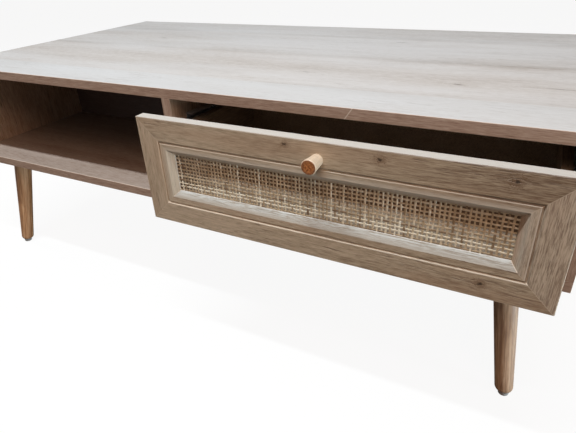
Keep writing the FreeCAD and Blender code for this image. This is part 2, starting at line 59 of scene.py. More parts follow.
# Lights: place, point aimed at, width and depth, power, colour, and whether they show in reflections
Light = namedtuple("Light", "place target size power colour mirrored")
lights = {
    "key": Light((-0.1, -0.82, 2.3), (-0.1, -0.15, 0.42), (1.6, 0.08), 51.0, (0.86, 0.955, 1.0), True),
    "side": Light((2.2, -0.46, 0.16), (0.5, -0.33, 0.2), (0.3, 0.3), 26.0, (0.78, 0.94, 1.0), True),
    "left": Light((-2.2, -0.1, 0.75), (-0.57, 0.0, 0.3), (0.6, 0.6), 9.0, (1.0, 0.93, 0.86), False),
    "front": Light((1.0, -1.7, 2.2), (-0.2, -0.26, 0.3), (1.2, 1.2), 21.0, (1.0, 0.66, 0.48), False),
    "back": Light((-0.4, 2.5, 1.1), (0.0, 0.34, 0.3), (2.4, 1.1), 22.0, (0.96, 0.98, 1.0), False),
}

# What lights the rest, and what shows in reflections
fill_colour = (1.0, 0.75, 0.56)
fill_strength = 0.1
mirrored_colour = (0.72, 0.87, 1.0)
mirrored_strength = 0.9

# Floor: half its width, what it throws back, how it looks, the share of that which glows, and its mottle
floor_reach = 20.0
floor_bounce = (0.18, 0.155, 0.135)
floor_shown = (0.96, 0.96, 0.96)
floor_glow_share = 0.92
floor_mottle_share = 0.04

# Patch of floor that glows in reflections only, painting a pale reflection on the right legs: where it
# starts along X and Y, and where it is full
reflection_glow_start = Vector((0.5, -0.6))
reflection_glow_full = Vector((0.62, -0.45))

drawers = ("front_drawer", "rear_drawer")

# Cane weave: spacing, size of a strand, how far it swings over and under, and how far it strays sideways
cane_pitch = 0.0053
strand_width = 0.0025
strand_width_shares = (0.84, 1.1)
strand_thickness = 0.0004
strand_swing = 0.00018
strand_wander = 0.00022
strand_section = ((-1.0, 0.0), (-0.6, -1.0), (0.6, -1.0), (1.0, 0.0), (0.6, 1.0), (-0.6, 1.0))

# Points of a strand per crossing, its sideways waves in radians per metre, and the swelling of its width
strand_steps = 4
strand_waves = 160
strand_swell_share = 0.08
strand_swell_turn = 0.7

# Tone of a strand: its base, what its own chance and its fibres add, and what sets uprights apart
cane_base_tone = 0.21
cane_own_tone = 0.78
cane_fibre_tone = 0.3
upright_set = 17.0

# Printed planks on the top and bottom boards, across the grain; each is darker than the one before it
plank_width = 0.198
plank_start = -0.38
plank_step = 0.04
plank_warp = 0.04
seam_span = (0.38, 0.5)
seam_dark = 0.2
front_plank_cool = 0.3
back_plank_cool = 0.08

# Moulding of the drawer frames, measured in from their outer edge
groove_start = 0.031
groove_end = 0.035
arris_round = 0.0006
bevel_start = 0.043
bevel_end = 0.051

# Members of the drawer frames, each with
#   axes: along the grain, across it and into the wood
#   arris: how far in the arris of the groove with the painted highlight lies
#   worn: how strong that painted highlight is
#   grain: how strong the grain is
#   lift: how much paler the foil is
#   slope, bend: how much paler it gets per metre along X, and per metre squared off the middle
#   greyed: how grey the foil is
#   washed: how pale it is inside the groove
#   browned: how far the inner end of the bevel is painted the reddish brown of its shadow
member_fields = "axes arris worn grain lift slope bend greyed washed browned"
member_defaults = (0.45, 0.9, 0.0, 0.0, 0.0, 0.0, 0.0, 0.0)
Member = namedtuple("Member", member_fields, defaults=member_defaults)
front_members = {
    "top_rail": Member(
        "xzy", groove_end, grain=0.75, lift=0.02, slope=-0.72, bend=-3.0, washed=0.65, browned=0.4
    ),
    "bottom_rail": Member("xzy", groove_start, lift=0.07, slope=-0.8, bend=-0.8),
    "left_stile": Member("zxy", groove_end, lift=0.25, washed=0.42),
    "right_stile": Member(
        "zxy", groove_end + arris_round, worn=0.95, grain=2.1, greyed=0.3, washed=0.3, browned=0.6
    ),
}

# Legs lean this far per unit of height, towards the middle along X and Y
leg_lean_share = 35 / 220

# Seeds of the prints, and how far each seed moves a print along the grain and into the wood
knob_seed = 5
dowel_seed = 9
box_seed = 20
front_seed = 30
seed_run = 1.37
seed_depth = 0.61

# Knots and cracks: place along the grain and across it, reach across it, and length as a multiple of that
knots = {
    "top_panel": (
        (0.391, -0.112, 0.0021, 2.5),
        (0.1575, -0.105, 0.0014, 4.0),
        (0.515, -0.098, 0.0011, 14.0),
        (0.23, 0.176, 0.0014, 7.0),
        (-0.31, 0.11, 0.0018, 3.0),
    ),
    "front_drawer_top_rail": (
        (0.2395, 0.3865, 0.0014, 1.6),
        (0.3553, 0.3845, 0.0018, 1.3),
        (0.4914, 0.383, 0.0021, 1.2),
    ),
    "front_drawer_bottom_rail": ((0.4753, 0.2568, 0.002, 1.2),),
    "rear_drawer_top_rail": ((-0.41, 0.38, 0.002, 1.3), (-0.13, 0.3865, 0.0017, 1.5)),
    "rear_drawer_bottom_rail": ((-0.335, 0.2585, 0.0019, 1.2),),
}

# Where a knot and the halo round it end, in shares of its reach, and how ragged they are
knot_shares = (0.5, 1.3)
halo_shares = (1.0, 4.5)
knot_ragged = 2.2

# Scratch on the front edge of the top: its lower end, and how far it leans per unit of height
scratch_start = Vector((0.2846, 0.0, 0.3985))
scratch_lean = 0.69

# Distances within which marks are full, and beyond which they are gone
scratch_reach = (0.0004, 0.0011)
wear_reach = (0.0008, 0.0022)
rim_reach = (0.001, 0.003)
arris_reach = (0.0004, 0.001)
mitre_reach = (0.0005, 0.0014)
scuff_reach = (0.0005, 0.002)

# Distances from the axis of a knob between which its end darkens to the rim
knob_rim_span = (0.0035, 0.009)

# How squarely a face looks along an axis where a change starts, and where it is complete
turned_span = (0.5, 0.9)
flat_span = (0.75, 0.97)
square_span = (0.85, 0.995)
upper_span = (0.4, 0.65)
edge_span = (0.1, 0.5)
knob_end_span = (0.7, 0.95)
lined_span = (0.4, 0.8)

# Patterns of noise: lumps per metre along the grain, across it and into the wood, or along X, Y and Z, with
# the levels of detail and the strength of the finer ones
Pattern = namedtuple("Pattern", "along across deep detail roughness", defaults=(2.0, 0.5))
oak_sway = Pattern(2.4, 9, 9)
oak_broad = Pattern(1.6, 14, 14)
oak_arch = Pattern(1.1, 7, 7, detail=1.0)
oak_streak = Pattern(15, 280, 280, detail=4.0, roughness=0.65)
oak_grit = Pattern(62, 780, 780, detail=3.0, roughness=0.7)
oak_fibre = Pattern(60, 1300, 1300)
oak_blush = Pattern(5, 30, 30)
pore_patch = Pattern(5, 38, 38)
pore_hatch = Pattern(85, 520, 520)
pore_dash = Pattern(26, 420, 420)
knot_speck = Pattern(620, 800, 800)
knot_edge = Pattern(420, 420, 420)
seam_gap = Pattern(2.5, 12, 1)
wash_cloud = Pattern(1.7, 8, 8, detail=3.0)
beech_sway = Pattern(5, 20, 20)
beech_streak = Pattern(10, 330, 330, detail=3.0)
beech_fibre = Pattern(60, 1500, 1500)
beech_dash = Pattern(50, 800, 800)
beech_broad = Pattern(3, 40, 40)
knob_turning = Pattern(900, 40, 40)
knob_mottle = Pattern(420, 420, 0, detail=3.0)
felt_fibre = Pattern(260, 260, 260, detail=5.0, roughness=0.7)
zinc_spangle = Pattern(160, 160, 160, detail=3.0)
zinc_rolling = Pattern(900, 14, 900)
zinc_scratch = Pattern(700, 30, 700, detail=4.0)
plastic_speckle = Pattern(900, 900, 900, detail=3.0)
plastic_wear = Pattern(300, 300, 300, detail=4.0)
floor_cloud = Pattern(3, 3, 0)

# Two more patterns, with lumps per strand across in the first and deep in the second
cane_stretch = Pattern(38, 5.3, 0, detail=3.0)
cane_fibre = Pattern(90, 3600, 1)

# Middle of a noise, and of the scale of tone
middle = 0.5

# Values of a noise, or of the fine grain for the painted sheen, where a mark starts and where it is
# complete
patch_span = (0.36, 0.62)
hatch_span = (0.56, 0.68)
dash_span = (0.58, 0.7)
blush_span = (0.48, 0.7)
speck_span = (0.56, 0.66)
gap_span = (0.35, 0.65)
wash_span = (0.36, 0.7)
painted_sheen_span = (-0.25, 0.2)
beech_dash_span = (0.6, 0.75)
turning_span = (0.45, 0.75)
rubbed_span = (0.62, 0.7)
scuff_span = (0.5, 0.65)

# Surfaces: depth in metres that a height of one stands for, roughness, what each value that changes it adds
# to it, metallic share and strength of the reflections
Surface = namedtuple("Surface", "relief rough added metallic gloss", defaults=(0.0, 0.5))
board_surface = Surface(0.00012, 0.42, (0.16, 0.1))
front_surface = Surface(0.00022, 0.34, (0.14, 0.12, 0.4))
wood_surface = Surface(0.00012, 0.3, (0.16,), gloss=1.0)
knob_surface = Surface(0.00012, 0.3, (0.16,))
box_surface = Surface(0.0001, 0.5, (0.15,))
felt_surface = Surface(0.0002, 0.5, (0.25,))
zinc_surface = Surface(0.00003, 0.36, (0.25, -0.1), metallic=1.0)
plastic_surface = Surface(0.00004, 0.42, (0.2,))
cane_surface = Surface(0.0001, 0.36, (0.2,))

# Shades from dark to pale, each with its place on the scale of tone
front_shades = (
    (0.08, (0.18, 0.115, 0.072)),
    (0.4, (0.375, 0.29, 0.202)),
    (0.6, (0.475, 0.377, 0.272)),
    (0.95, (0.61, 0.49, 0.368)),
)
top_shades = (
    (0.1, (0.26, 0.205, 0.16)),
    (0.42, (0.438, 0.384, 0.346)),
    (0.62, (0.512, 0.47, 0.44)),
    (0.95, (0.596, 0.566, 0.55)),
)
carcass_shades = (
    (0.1, (0.18, 0.1, 0.07)),
    (0.42, (0.29, 0.216, 0.174)),
    (0.62, (0.358, 0.281, 0.238)),
    (0.95, (0.46, 0.372, 0.325)),
)
side_shades = (
    (0.1, (0.21, 0.125, 0.075)),
    (0.42, (0.42, 0.29, 0.205)),
    (0.62, (0.5, 0.37, 0.275)),
    (0.95, (0.6, 0.47, 0.37)),
)
cane_shades = (
    (0.1, (0.22, 0.14, 0.08)),
    (0.4, (0.47, 0.35, 0.225)),
    (0.7, (0.66, 0.53, 0.37)),
    (0.95, (0.86, 0.78, 0.64)),
)
# Back panels: foil far darker than the carcass foil, painted shade for the back of the bays
back_painted_shade_shades = ((0.1, (0.05, 0.028, 0.02)), (0.5, (0.105, 0.062, 0.048)), (0.95, (0.17, 0.115, 0.09)))
band_shades = ((0.12, (0.22, 0.13, 0.09)), (0.5, (0.355, 0.235, 0.175)), (0.9, (0.45, 0.33, 0.255)))
# Underside of the top: darkened, painted shade for the bay below it
under_painted_shade_shades = ((0.15, (0.13, 0.09, 0.06)), (0.5, (0.24, 0.175, 0.12)), (0.9, (0.33, 0.25, 0.18)))
box_shades = ((0.15, (0.16, 0.11, 0.076)), (0.5, (0.29, 0.212, 0.15)), (0.9, (0.4, 0.305, 0.225)))
lining_shades = ((0.15, (0.14, 0.1, 0.066)), (0.55, (0.255, 0.19, 0.135)), (0.9, (0.33, 0.26, 0.195)))
felt_shades = ((0.3, (0.12, 0.07, 0.04)), (0.7, (0.26, 0.165, 0.1)))
red_beech_shades = ((0.1, (0.28, 0.13, 0.055)), (0.5, (0.478, 0.249, 0.12)), (0.9, (0.6, 0.37, 0.21)))
grey_beech_shades = ((0.1, (0.29, 0.16, 0.088)), (0.5, (0.506, 0.318, 0.192)), (0.9, (0.65, 0.47, 0.32)))
end_grain_shades = ((0.36, (0.2, 0.06, 0.014)), (0.64, (0.56, 0.22, 0.07)))
zinc_shades = ((0.3, (0.44, 0.39, 0.36)), (0.7, (0.64, 0.58, 0.54)))
plastic_shades = ((0.3, (0.32, 0.32, 0.325)), (0.7, (0.42, 0.42, 0.42)))

# Boards of the carcass: axes along the grain, across it and into the wood, seed of the print, shades of the
# foil, strength of its grain, whether planks are printed on it, and whether its arrises are worn
Board = namedtuple("Board", "axes seed shades grain planked worn")
boards = {
    "top_panel": Board("xyz", 1, top_shades, 0.6, True, True),
    "bottom_panel": Board("xyz", 2, carcass_shades, 0.7, True, True),
    "left_side_panel": Board("zyx", 3, side_shades, 0.9, False, True),
    "right_side_panel": Board("zyx", 4, side_shades, 0.9, False, True),
    "centre_divider": Board("zyx", 5, side_shades, 0.9, False, True),
    "left_back_panel": Board("xzy", 6, back_painted_shade_shades, 0.5, False, False),
    "right_back_panel": Board("xzy", 7, back_painted_shade_shades, 0.5, False, False),
}

# Tints laid over a finish: how much each covers, and its colour
Tint = namedtuple("Tint", "share colour")
top_wash = Tint(0.5, (0.562, 0.546, 0.542))
top_pore = Tint(0.2, (0.17, 0.12, 0.09))
board_pore = Tint(0.5, (0.17, 0.12, 0.09))
board_knot = Tint(0.7, (0.1, 0.075, 0.06))
board_wear = Tint(0.7, (0.66, 0.57, 0.48))
front_blush = Tint(0.25, (0.4, 0.24, 0.15))
front_pore = Tint(0.5, (0.13, 0.08, 0.05))
front_halo = Tint(0.35, (0.2, 0.115, 0.06))
front_speck = Tint(0.75, (0.08, 0.045, 0.028))
front_knot = Tint(0.92, (0.045, 0.026, 0.016))
upward_painted_shade = Tint(0.8, (0.26, 0.228, 0.19))
bevel_painted_sheen = Tint(0.8, (0.56, 0.585, 0.58))
rim_dark = Tint(0.6, (0.15, 0.1, 0.07))
edge_pale = Tint(0.75, (0.6, 0.565, 0.52))
mitre_pale = Tint(0.7, (0.6, 0.49, 0.38))
beech_pore = Tint(0.45, (0.24, 0.13, 0.065))
turned_pale = Tint(0.6, (0.76, 0.64, 0.5))
turned_ring = Tint(0.3, (0.5, 0.36, 0.24))
knob_rim = Tint(0.55, (0.2, 0.1, 0.055))
box_pore = Tint(0.4, (0.12, 0.085, 0.055))
zinc_rubbed = Tint(0.5, (0.78, 0.77, 0.76))
plastic_scuff = Tint(0.7, (0.2, 0.18, 0.16))

# Colours of tints that cover more on one piece than on the next
cool_white = (0.53, 0.55, 0.565)
oak_grey = (0.385, 0.32, 0.27)
groove_pale = (0.6, 0.54, 0.46)
bevel_shadow_tint = (0.46, 0.27, 0.165)
arris_painted_highlight = (0.6, 0.52, 0.43)


class Wire:
    """A socket of a material that can stand in a sum: each operator adds a Math node."""

    def __init__(self, finish, socket):
        self.finish = finish
        self.socket = socket

    def __add__(self, other):
        return self.finish.maths("ADD", self, other)

    def __radd__(self, other):
        return self.finish.maths("ADD", other, self)

    def __sub__(self, other):
        return self.finish.maths("SUBTRACT", self, other)

    def __rsub__(self, other):
        return self.finish.maths("SUBTRACT", other, self)

    def __mul__(self, other):
        return self.finish.maths("MULTIPLY", self, other)

    def __rmul__(self, other):
        return self.finish.maths("MULTIPLY", other, self)

    def __truediv__(self, other):
        return self.finish.maths("DIVIDE", self, other)

    def __abs__(self):
        return self.finish.maths("ABSOLUTE", self)


class Tree:
    """The nodes of a material or of the world."""

    def __init__(self, block):
        block.use_nodes = True
        self.tree = block.node_tree
        self.tree.nodes.clear()

    def node(self, kind, settings=None, sockets=None, out=0):
        """Add a node, its settings first and then its sockets, and give one output or a tuple of them."""
        made = self.tree.nodes.new("ShaderNode" + kind)
        for key, value in (settings or {}).items():
            if key == "stops":
                self.set_stops(made.color_ramp, value)
            else:
                setattr(made, key, value)
        for key, value in (sockets or {}).items():
            self.feed(made.inputs[key], value)
        if isinstance(out, tuple):
            return tuple(Wire(self, made.outputs[key]) for key in out)
        return Wire(self, made.outputs[out])

    def feed(self, socket, value):
        """Link a Wire to a socket, or set the socket to a plain value."""
        if isinstance(value, Wire):
            self.tree.links.new(value.socket, socket)
        elif socket.type == "RGBA":
            socket.default_value = (*value, 1.0)
        else:
            socket.default_value = value

    def set_stops(self, ramp, stops):
        """Give a colour ramp its stops, each a position and a colour."""
        while len(ramp.elements) < len(stops):
            ramp.elements.new(1.0)
        for element, (position, colour) in zip(ramp.elements, stops):
            element.position = position
            element.color = (*colour, 1.0)

    def maths(self, operation, *values):
        return self.node("Math", {"operation": operation}, dict(enumerate(values)))

    def on_path(self, *kinds):
        """One on light paths of the named kinds and zero on others."""
        return self.node("LightPath", out=tuple(f"Is {kind} Ray" for kind in kinds))


class Finish(Tree):
    """One procedural material, with lengths in metres in the part's own frame."""

    def __init__(self, name):
        self.material = bpy.data.materials.new(name)
        super().__init__(self.material)
        spot = self.node("TexCoord", out="Object")
        self.place = self.node("SeparateXYZ", sockets={0: spot}, out=(0, 1, 2))
        self.x, self.y, self.z = self.place

    def noise(self, place, pattern):
        """Cloudy value about one half at a place of three lengths, with the lumps of a pattern."""
        x, y, z = (length * count for length, count in zip(place, pattern))
        lumps = self.node("CombineXYZ", sockets={"X": x, "Y": y, "Z": z})
        sockets = {"Vector": lumps, "Scale": 1.0, "Detail": pattern.detail, "Roughness": pattern.roughness}
        return self.node("TexNoise", sockets=sockets, out="Fac")

    def marks(self, place, pattern, span):
        """One where the noise of a pattern is above a span, zero below it and smooth between."""
        return self.rise(self.noise(place, pattern), *span)

    def chance(self, value):
        """The same random number for the same whole number."""
        return self.node("TexWhiteNoise", {"noise_dimensions": "1D"}, {"W": value}, "Value")

    def rise(self, value, low, high):
        """Zero below low, one above high and smooth between."""
        sockets = {"Value": value, "From Min": low, "From Max": high}
        return self.node("MapRange", {"interpolation_type": "SMOOTHSTEP"}, sockets)

    def fall(self, value, low, high):
        """One below low, zero above high and smooth between."""
        return 1 - self.rise(value, low, high)

    def ramp(self, value, stops):
        return self.node("ValToRGB", {"stops": stops}, {0: value})

    def mix(self, share, first, second):
        """Colour that goes from the first to the second."""
        return self.node("Mix", {"data_type": "RGBA"}, {0: share, 6: first, 7: second}, 2)

    def tint(self, colour, where, tint):
        """Colour with a tint laid over it, in full where the value is one."""
        if tint.share == 0:
            return colour
        return self.mix(where * tint.share, colour, tint.colour)

    def facing(self):
        """How far the surface faces along X, Y and Z."""
        normal = self.node("NewGeometry", out="Normal")
        return self.node("SeparateXYZ", sockets={0: normal}, out=(0, 1, 2))

    def inset(self, axis, low, high):
        """How far a place lies from the nearer end of a box along one axis."""
        place = getattr(self, axis)
        return self.maths("MINIMUM", abs(place - getattr(low, axis)), abs(place - getattr(high, axis)))

    def grain_place(self, axes, seed):
        """Place along the grain, across it and into the wood, moved off so that no two pieces match."""
        along, across, deep = (getattr(self, axis) for axis in axes)
        return along + seed * seed_run, across, deep + seed * seed_depth

    def surface(self, kind, colour, height, changes):
        """Close the material, with the values that change its roughness in the order of what they add."""
        roughness = kind.rough
        for change, added in zip(changes, kind.added):
            roughness = change * added + roughness
        normal = self.node("Bump", sockets={"Height": height, "Strength": 1.0, "Distance": kind.relief})
        sockets = {"Base Color": colour, "Roughness": roughness, "Normal": normal}
        sockets.update({"Metallic": kind.metallic, "Specular IOR Level": kind.gloss})
        shader = self.node("BsdfPrincipled", sockets=sockets)
        self.node("OutputMaterial", sockets={"Surface": shader}, out=())
        return self.material


class Oak:
    """Printed oak along one grain: fine and broad changes of tone, dark pores, raised fibre and knots."""

    # How far the grain sways in metres, and how many radians its arches turn over the range of a noise
    sway_reach = 0.012
    arch_turns = 70

    # What each pattern adds to the tone, and what the halo of a knot takes from it
    streak_tone = 0.7
    grit_tone = 1.7
    fibre_tone = 0.3
    broad_tone = 0.4
    arch_tone = 0.03
    halo_tone = 0.12

    # How dark the hatched pores are beside the dashed ones, and how high the grit and the fibre stand
    hatch_share = 0.7
    grit_height = 0.7
    fibre_height = 0.4

    def __init__(self, finish, place, spots=()):
        f = finish
        if spots:
            place = self.add_knots(f, place, spots)
        along, across, deep = place
        sway = f.noise(place, oak_sway) - middle
        place = (along, across + sway * self.sway_reach, deep)
        broad = f.noise(place, oak_broad) - middle
        arches = f.maths("SINE", f.noise(place, oak_arch) * self.arch_turns)
        streak = f.noise(place, oak_streak) - middle
        grit = f.noise(place, oak_grit)
        self.fibre = f.noise(place, oak_fibre)
        patch = f.marks(place, pore_patch, patch_span)
        hatch = f.marks(place, pore_hatch, hatch_span)
        dash = f.marks(place, pore_dash, dash_span)
        self.pores = (hatch * self.hatch_share + dash) * patch
        self.blush = f.marks(place, oak_blush, blush_span)
        self.fine = streak * self.streak_tone + (grit - middle) * self.grit_tone
        self.fine = self.fine + (self.fibre - middle) * self.fibre_tone
        self.broad = broad * self.broad_tone + arches * self.arch_tone
        self.relief = grit * self.grit_height + self.fibre * self.fibre_height - self.pores
        if spots:
            self.broad = self.broad - self.halo * self.halo_tone
            self.specks = f.marks(place, knot_speck, speck_span) * self.halo

    def add_knots(self, finish, place, spots):
        """Set the knots and their halos, and give the place in the grain as it bends round them."""
        f = finish
        along, across, deep = place
        self.knot = 0.0
        self.halo = 0.0
        ragged = (f.noise(place, knot_edge) - middle) * knot_ragged + 1
        for spot_along, spot_across, size, stretch in spots:
            run = (along - spot_along) / stretch
            side = across - spot_across
            reach = f.maths("SQRT", run * run + side * side) * ragged
            self.knot = f.fall(reach, *(size * share for share in knot_shares)) + self.knot
            near = f.fall(reach, *(size * share for share in halo_shares))
            self.halo = near + self.halo
            across = across - near * f.maths("SIGN", side) * size
        return along, across, deep

    def tone(self, grain=1.0):
        """Place on the scale of tone, with the fine grain this strong."""
        return self.fine * grain + self.broad + middle


def printed_knots(node, seed):
    """Knots of a node, moved along the grain with its print."""
    return [(along + seed * seed_run, *rest) for along, *rest in knots.get(node, ())]


def carcass_board(node, board):
    """Washed oak foil on both flat faces, browner bands on the edges and, on a worn board, pale arrises.

    The top panel is washed whiter, has a scratch on its front edge, and has its underside darkened as
    painted shade for the bay below it.
    """
    f = Finish(node + "_finish")
    place = f.grain_place(board.axes, board.seed)
    spots = printed_knots(node, board.seed)
    oak = Oak(f, place, spots)
    on_top = node == "top_panel"
    facing = dict(zip("xyz", f.facing()))
    tone = oak.tone(board.grain)
    if board.planked:
        plank = (place[1] + oak.broad * plank_warp - plank_start) / plank_width
        beyond = f.maths("FLOOR", plank) - 1
        beside = abs(f.maths("FRACT", plank) - middle)
        clear = f.marks(place, seam_gap, gap_span)
        tone = tone - f.rise(beside, *seam_span) * clear * seam_dark - beyond * plank_step
    foil = f.ramp(tone, board.shades)
    if on_top:
        foil = f.tint(foil, f.marks(place, wash_cloud, wash_span), top_wash)
        cool = f.maths("MAXIMUM", beyond * -front_plank_cool, beyond * back_plank_cool)
        foil = f.mix(cool, foil, cool_white)
    foil = f.tint(foil, oak.pores, top_pore if on_top else board_pore)
    if spots:
        foil = f.tint(foil, oak.knot, board_knot)
    if on_top:
        # Painted shade: the underside is darker so that less light bounces into the bay below
        under = f.ramp(oak.tone(), under_painted_shade_shades)
        foil = f.mix(f.rise(facing["z"] * -1, *turned_span), foil, under)
    band = f.ramp(oak.tone(), band_shades)
    flat_share = f.rise(abs(facing[board.axes[2]]), *flat_span)
    colour = f.mix(flat_share, band, foil)
    if board.worn:
        square = f.maths("MAXIMUM", abs(facing["y"]), abs(facing["z"]))
        square = f.maths("MAXIMUM", abs(facing["x"]), square)
        at_rim = f.fall(f.inset(board.axes[1], *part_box(node)), *wear_reach)
        worn = f.maths("MAXIMUM", f.fall(square, *square_span), at_rim) * flat_share
        if on_top:
            off = abs(f.x - scratch_start.x - (f.z - scratch_start.z) * scratch_lean)
            scratch = f.fall(off, *scratch_reach) * f.rise(facing["y"] * -1, *turned_span)
            worn = f.maths("MAXIMUM", worn, scratch)
        colour = f.tint(colour, worn, board_wear)
    return f.surface(board_surface, colour, oak.relief, (oak.fibre, oak.pores))


def drawer_front(drawer, member_name, seed):
    """Grey-brown oak foil wrapped round a frame member.

    The groove has a painted highlight along one arris, the mitres show as pale lines and the outer edges
    are pale. Faces that look up past the groove have painted shade, a bevel that looks up has a painted
    sheen, and the inner end of a bevel is tinted the reddish brown of its shadow.
    """
    node = drawer + "_" + member_name
    member = front_members[member_name]
    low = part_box(drawer + "_bottom_rail")[0]
    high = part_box(drawer + "_top_rail")[1]
    f = Finish(node + "_finish")
    spots = printed_knots(node, seed)
    oak = Oak(f, f.grain_place(member.axes, seed), spots)
    tone = oak.tone(member.grain) + member.lift
    if member.slope:
        run = f.x - (low.x + high.x) / 2
        tone = tone + run * (run * member.bend + member.slope)
    colour = f.ramp(tone, front_shades)
    colour = f.tint(colour, oak.blush, front_blush)
    colour = f.tint(colour, 1, Tint(member.greyed, oak_grey))
    colour = f.tint(colour, oak.pores, front_pore)
    if spots:
        colour = f.tint(colour, oak.halo, front_halo)
        colour = f.tint(colour, oak.specks, front_speck)
        colour = f.tint(colour, oak.knot, front_knot)
    inset = f.inset(member.axes[1], low, high)
    past_groove = f.rise(inset, groove_end, bevel_start)
    on_bevel = f.rise(inset, bevel_start, bevel_end)
    ahead, upward = f.facing()[1:]
    upper = f.rise(upward, *upper_span)
    colour = f.tint(colour, f.rise(inset, member.arris, bevel_start), Tint(member.washed, groove_pale))
    # Painted shadow: the inner end of the bevel is tinted the reddish brown that its shadow takes
    colour = f.tint(colour, on_bevel, Tint(member.browned, bevel_shadow_tint))
    # Painted shade: faces past the groove that look up are darkened
    colour = f.tint(colour, upper * past_groove, upward_painted_shade)
    # Painted sheen: a cool pale tint on bevels that look up, where the overhead light falls on them
    colour = f.tint(colour, upper * on_bevel * f.rise(oak.fine, *painted_sheen_span), bevel_painted_sheen)
    colour = f.tint(colour, upper * f.fall(inset, *rim_reach), rim_dark)
    colour = f.tint(colour, f.fall(abs(ahead), *edge_span), edge_pale)
    # Painted highlight: a pale line along the arris of the groove whose wall catches the light
    at_arris = f.fall(abs(inset - member.arris), *arris_reach)
    colour = f.tint(colour, at_arris, Tint(member.worn, arris_painted_highlight))
    if "rail" in member_name:
        outer_z = high.z if "top" in member_name else low.z
        off = f.inset("x", low, high) - abs(f.z - outer_z)
        colour = f.tint(colour, f.fall(abs(off), *mitre_reach), mitre_pale)
    return f.surface(front_surface, colour, oak.relief, (oak.fibre, oak.pores, on_bevel))


class Beech:
    """Oiled solid wood with streaks and short pores along one grain."""

    # How far the streaks sway in metres, what each pattern adds to the tone, and how high the fibre stands
    sway_reach = 0.006
    streak_tone = 2.2
    fibre_tone = 0.8
    fibre_height = 0.5

    def __init__(self, finish, place, shades):
        f = finish
        along, across, deep = place
        sway = (f.noise(place, beech_sway) - middle) * self.sway_reach
        streak = f.noise((along, across + sway, deep + sway), beech_streak) - middle
        self.fibre = f.noise(place, beech_fibre)
        pores = f.marks(place, beech_dash, beech_dash_span)
        broad = f.noise(place, beech_broad)
        tone = streak * self.streak_tone + (self.fibre - middle) * self.fibre_tone + broad
        self.colour = f.tint(f.ramp(tone, shades), pores, beech_pore)
        self.relief = self.fibre * self.fibre_height - pores


def natural_wood(name, seed, shades, lean_x=0.0, lean_y=0.0):
    """Wood with its grain along Z, or along a leg that leans."""
    f = Finish(name)
    wood = Beech(f, (f.z + seed, f.x + f.z * lean_x, f.y + f.z * lean_y), shades)
    return f.surface(wood_surface, wood.colour, wood.relief, (wood.fibre,))


def knob_wood(node, seed):
    """Pale turned side with faint rings round it, and mottled end grain that darkens to the rim."""
    f = Finish(node + "_finish")
    wood = Beech(f, (f.y + seed, f.x, f.z), grey_beech_shades)
    side = f.tint(wood.colour, 1, turned_pale)
    side = f.tint(side, f.marks((f.y, f.x, f.z), knob_turning, turning_span), turned_ring)
    end = f.ramp(f.noise((f.x, f.z, f.y), knob_mottle), end_grain_shades)
    low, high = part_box(node)
    off_x = f.x - (low.x + high.x) / 2
    off_z = f.z - (low.z + high.z) / 2
    outward = f.maths("SQRT", off_x * off_x + off_z * off_z)
    end = f.tint(end, f.rise(outward, *knob_rim_span), knob_rim)
    colour = f.mix(f.rise(abs(f.facing()[1]), *knob_end_span), side, end)
    return f.surface(knob_surface, colour, wood.relief, (wood.fibre,))


def box_board(name, seed):
    """Olive-brown foil on the drawer box."""
    f = Finish(name)
    oak = Oak(f, f.grain_place("yzx", seed))
    colour = f.tint(f.ramp(oak.tone(), box_shades), oak.pores, box_pore)
    return f.surface(box_surface, colour, oak.relief, (oak.fibre,))


def hardboard():
    """Pressed fibre board: printed foil on the upper face, brown felted fibre below."""
    f = Finish("drawer_bottom_finish")
    foil = f.ramp(Oak(f, f.place).tone(), lining_shades)
    felt = f.noise(f.place, felt_fibre)
    brown = f.ramp(felt, felt_shades)
    colour = f.mix(f.rise(f.facing()[2], *lined_span), brown, foil)
    return f.surface(felt_surface, colour, felt, (felt,))


def zinc_steel():
    """Zinc-plated steel with faint spangle, rolling lines and rubbed scratches."""
    f = Finish("zinc_steel_finish")
    spangle = f.noise(f.place, zinc_spangle)
    rolled = f.noise(f.place, zinc_rolling)
    rubbed = f.marks(f.place, zinc_scratch, rubbed_span)
    colour = f.ramp((spangle + rolled) / 2, zinc_shades)
    colour = f.tint(colour, rubbed, zinc_rubbed)
    return f.surface(zinc_surface, colour, rolled + rubbed / 2, (spangle, rubbed))


def glide_plastic():
    """Grey moulded plastic, scuffed where it meets the floor."""
    f = Finish("glide_plastic_finish")
    speckle = f.noise(f.place, plastic_speckle)
    scuff = f.marks(f.place, plastic_wear, scuff_span) * f.fall(f.z, *scuff_reach)
    colour = f.tint(f.ramp(speckle, plastic_shades), scuff, plastic_scuff)
    return f.surface(plastic_surface, colour, speckle, (speckle,))


def cane_strand(name, upright, first):
    """Split cane: each strand has its own tone, pale and brown stretches, and fine fibres along it."""
    f = Finish(name)
    along, across = (f.z, f.x) if upright else (f.x, f.z)
    strand = f.maths("ROUND", (across - first) / cane_pitch)
    own = f.chance(strand + upright_set * upright)
    stretch = f.noise((along, strand, across), cane_stretch) - middle
    fibre = f.noise((along, across, strand), cane_fibre)
    tone = own * cane_own_tone + stretch + (fibre - middle) * cane_fibre_tone + cane_base_tone
    return f.surface(cane_surface, f.ramp(tone, cane_shades), fibre, (fibre,))


def add_ribbon(verts, faces, line, widths, across):
    """Add one closed strand along a line of points, with its flat side along the vector across."""
    start = len(verts)
    count = len(strand_section)
    for point, width in zip(line, widths):
        for wide, thick in strand_section:
            side = across * (wide * width / 2)
            verts.append(point + side + Vector((0.0, thick * strand_thickness / 2, 0.0)))
    for ring in range(len(line) - 1):
        for k in range(count):
            near = start + ring * count
            here = near + k
            there = near + (k + 1) % count
            faces.append((here, there, there + count, here + count))
    last = start + (len(line) - 1) * count
    faces.append(tuple(range(start + count - 1, start - 1, -1)))
    faces.append(tuple(range(last, last + count)))


